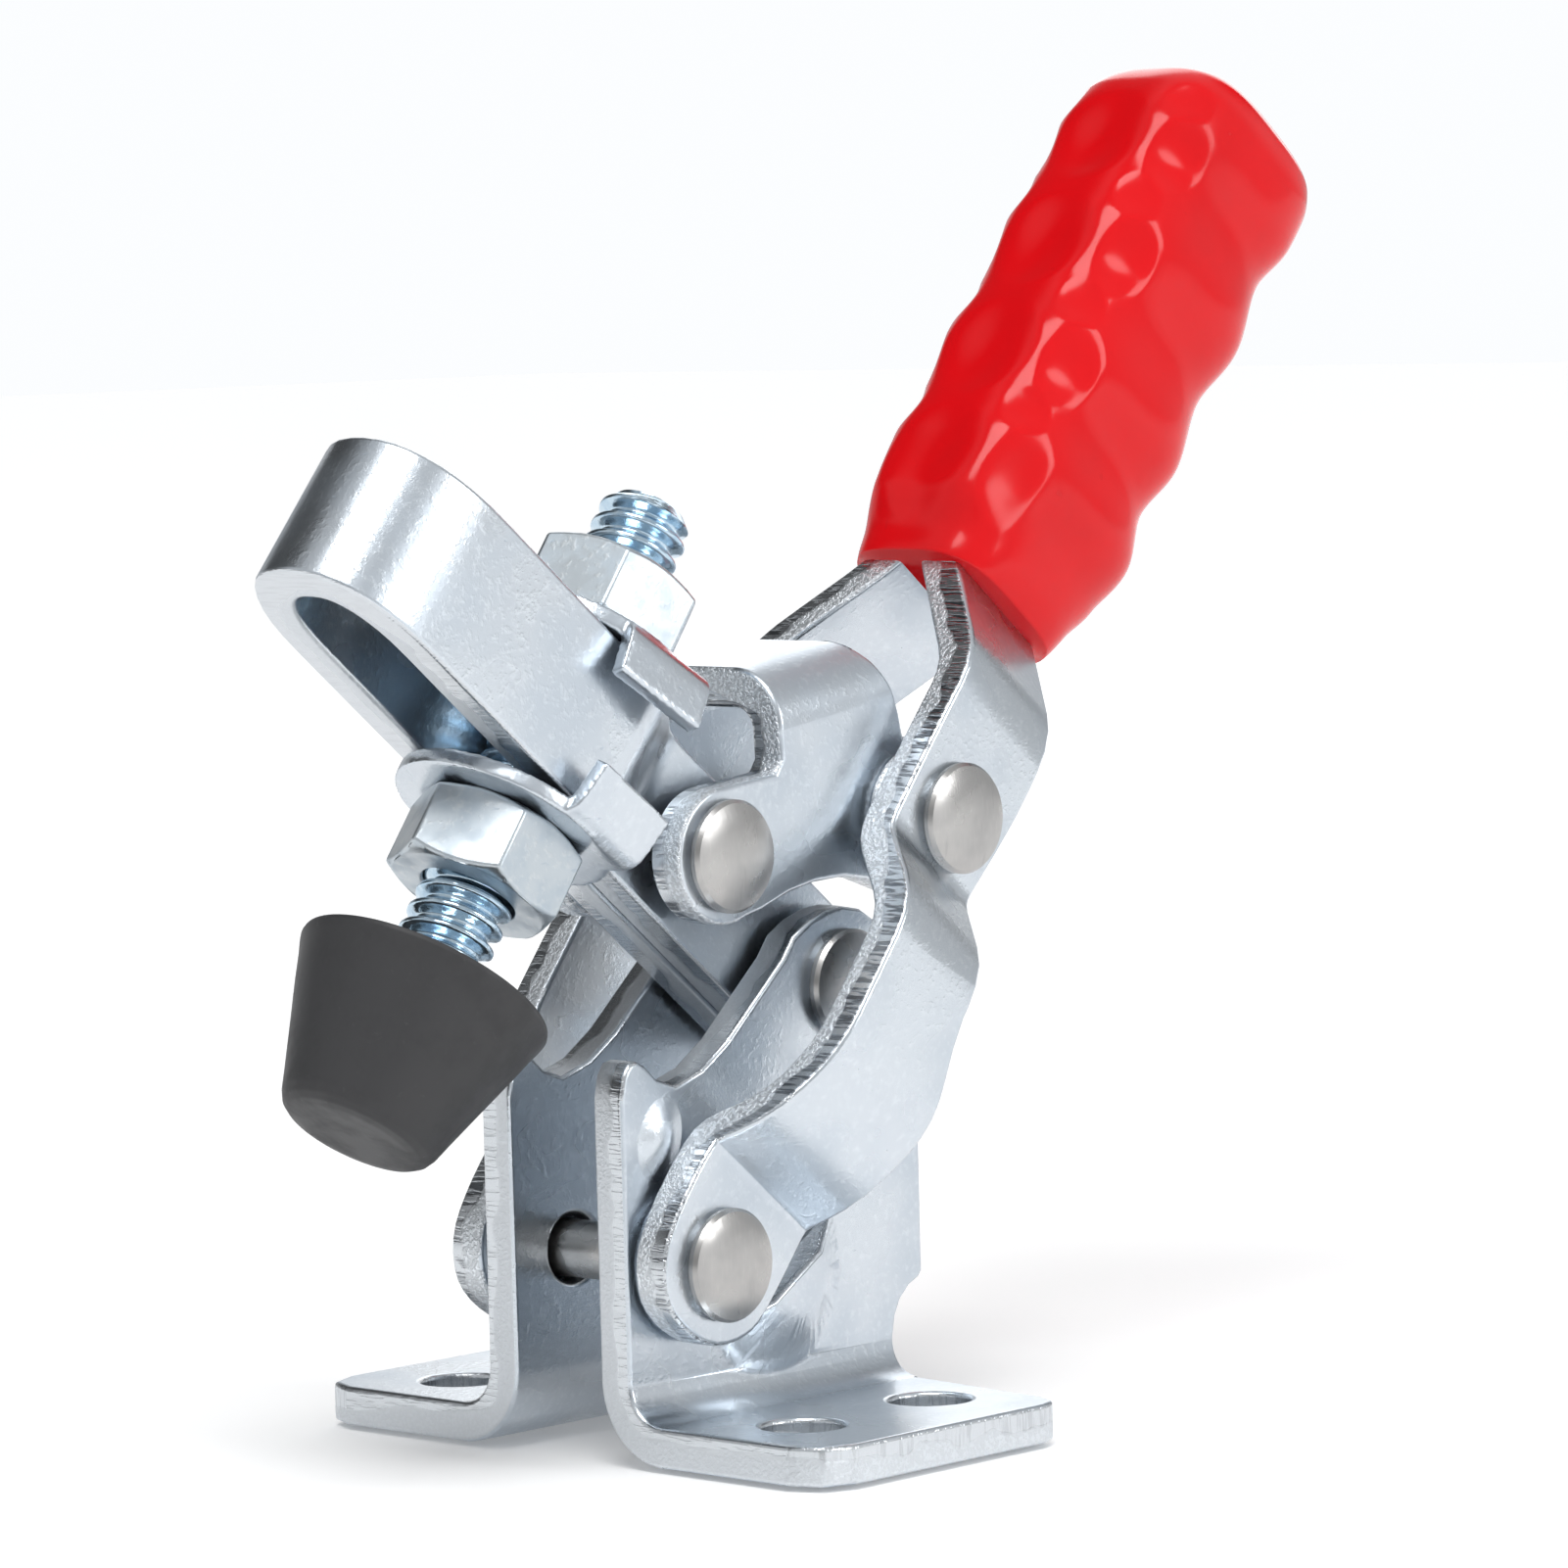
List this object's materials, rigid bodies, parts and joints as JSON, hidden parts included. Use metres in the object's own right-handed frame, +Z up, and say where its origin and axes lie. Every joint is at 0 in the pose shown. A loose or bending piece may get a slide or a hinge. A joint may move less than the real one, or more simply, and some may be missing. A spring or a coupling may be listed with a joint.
{
  "type": "toggle clamp",
  "caption": "Vertical toggle clamp with a flanged base, a riveted link, an open clamping arm, an adjustable rubber tipped spindle and a ribbed red grip.",
  "frame": {"origin": "centre of the four base holes, on the underside of the feet", "axes": "+X towards the handle, the clamping arm points to -X, +Y across the clamp, +Z up"},
  "size_m": [0.0902, 0.044, 0.0849],
  "materials": {
    "zinc_sheet": "satin zinc plate",
    "rivet_steel": "smooth",
    "screw_steel": "bright zinc plate",
    "grip_red": "glossy soft plastic",
    "cap_rubber": "matte"
  },
  "bodies": {
    "base": {"base_near": "zinc_sheet", "base_far": "zinc_sheet", "rivet_handle_base": "rivet_steel", "rivet_arm_base": "rivet_steel"},
    "handle": {"handle_near": "zinc_sheet", "handle_far": "zinc_sheet", "grip": "grip_red", "rivet_handle_link": "rivet_steel"},
    "link": {"link": "zinc_sheet", "rivet_link_arm": "rivet_steel"},
    "arm": {"arm": "zinc_sheet", "rivet_core": "rivet_steel"},
    "carriage": {"washer_upper": "zinc_sheet", "washer_lower": "zinc_sheet"},
    "screw": {"spindle": "screw_steel", "cap": "cap_rubber"},
    "upper_nut": {"nut_upper": "screw_steel"},
    "lower_nut": {"nut_lower": "screw_steel"}
  },
  "joints": [
    {"name": "handle_swing", "type": "hinge", "parent": "base", "child": "handle", "pos_m": [-0.00645, 0, 0.0119], "axis": [0, 1, 0], "range_deg": [-16, 18]},
    {"name": "link_swing", "type": "hinge", "parent": "handle", "child": "link", "pos_m": [0.01493, 0, 0.03756], "axis": [0, 1, 0], "range_deg": [-46, 28]},
    {"name": "arm_swing", "type": "hinge", "parent": "base", "child": "arm", "pos_m": [0.00835, 0, 0.0275], "axis": [0, 1, 0], "range_deg": [-38, 53]},
    {"name": "spindle_along_slot", "type": "slide", "parent": "arm", "child": "carriage", "axis": [-0.7702, 0, 0.6377], "range_m": [0, 0.0158]},
    {"name": "spindle_height", "type": "slide", "parent": "carriage", "child": "screw", "axis": [0.5966, 0, 0.8026], "range_m": [-0.0045, 0.007]},
    {"name": "upper_nut_turn", "type": "hinge", "parent": "carriage", "child": "upper_nut", "pos_m": [-0.01168, 0, 0.04408], "axis": [0.5966, 0, 0.8026], "continuous": true},
    {"name": "lower_nut_turn", "type": "hinge", "parent": "carriage", "child": "lower_nut", "pos_m": [-0.01168, 0, 0.04408], "axis": [0.5966, 0, 0.8026], "continuous": true}
  ],
  "couplings": [
    {"joint": "link_swing", "follows": "handle_swing", "ratio": 1.53},
    {"joint": "arm_swing", "follows": "handle_swing", "ratio": 1.9}
  ]
}
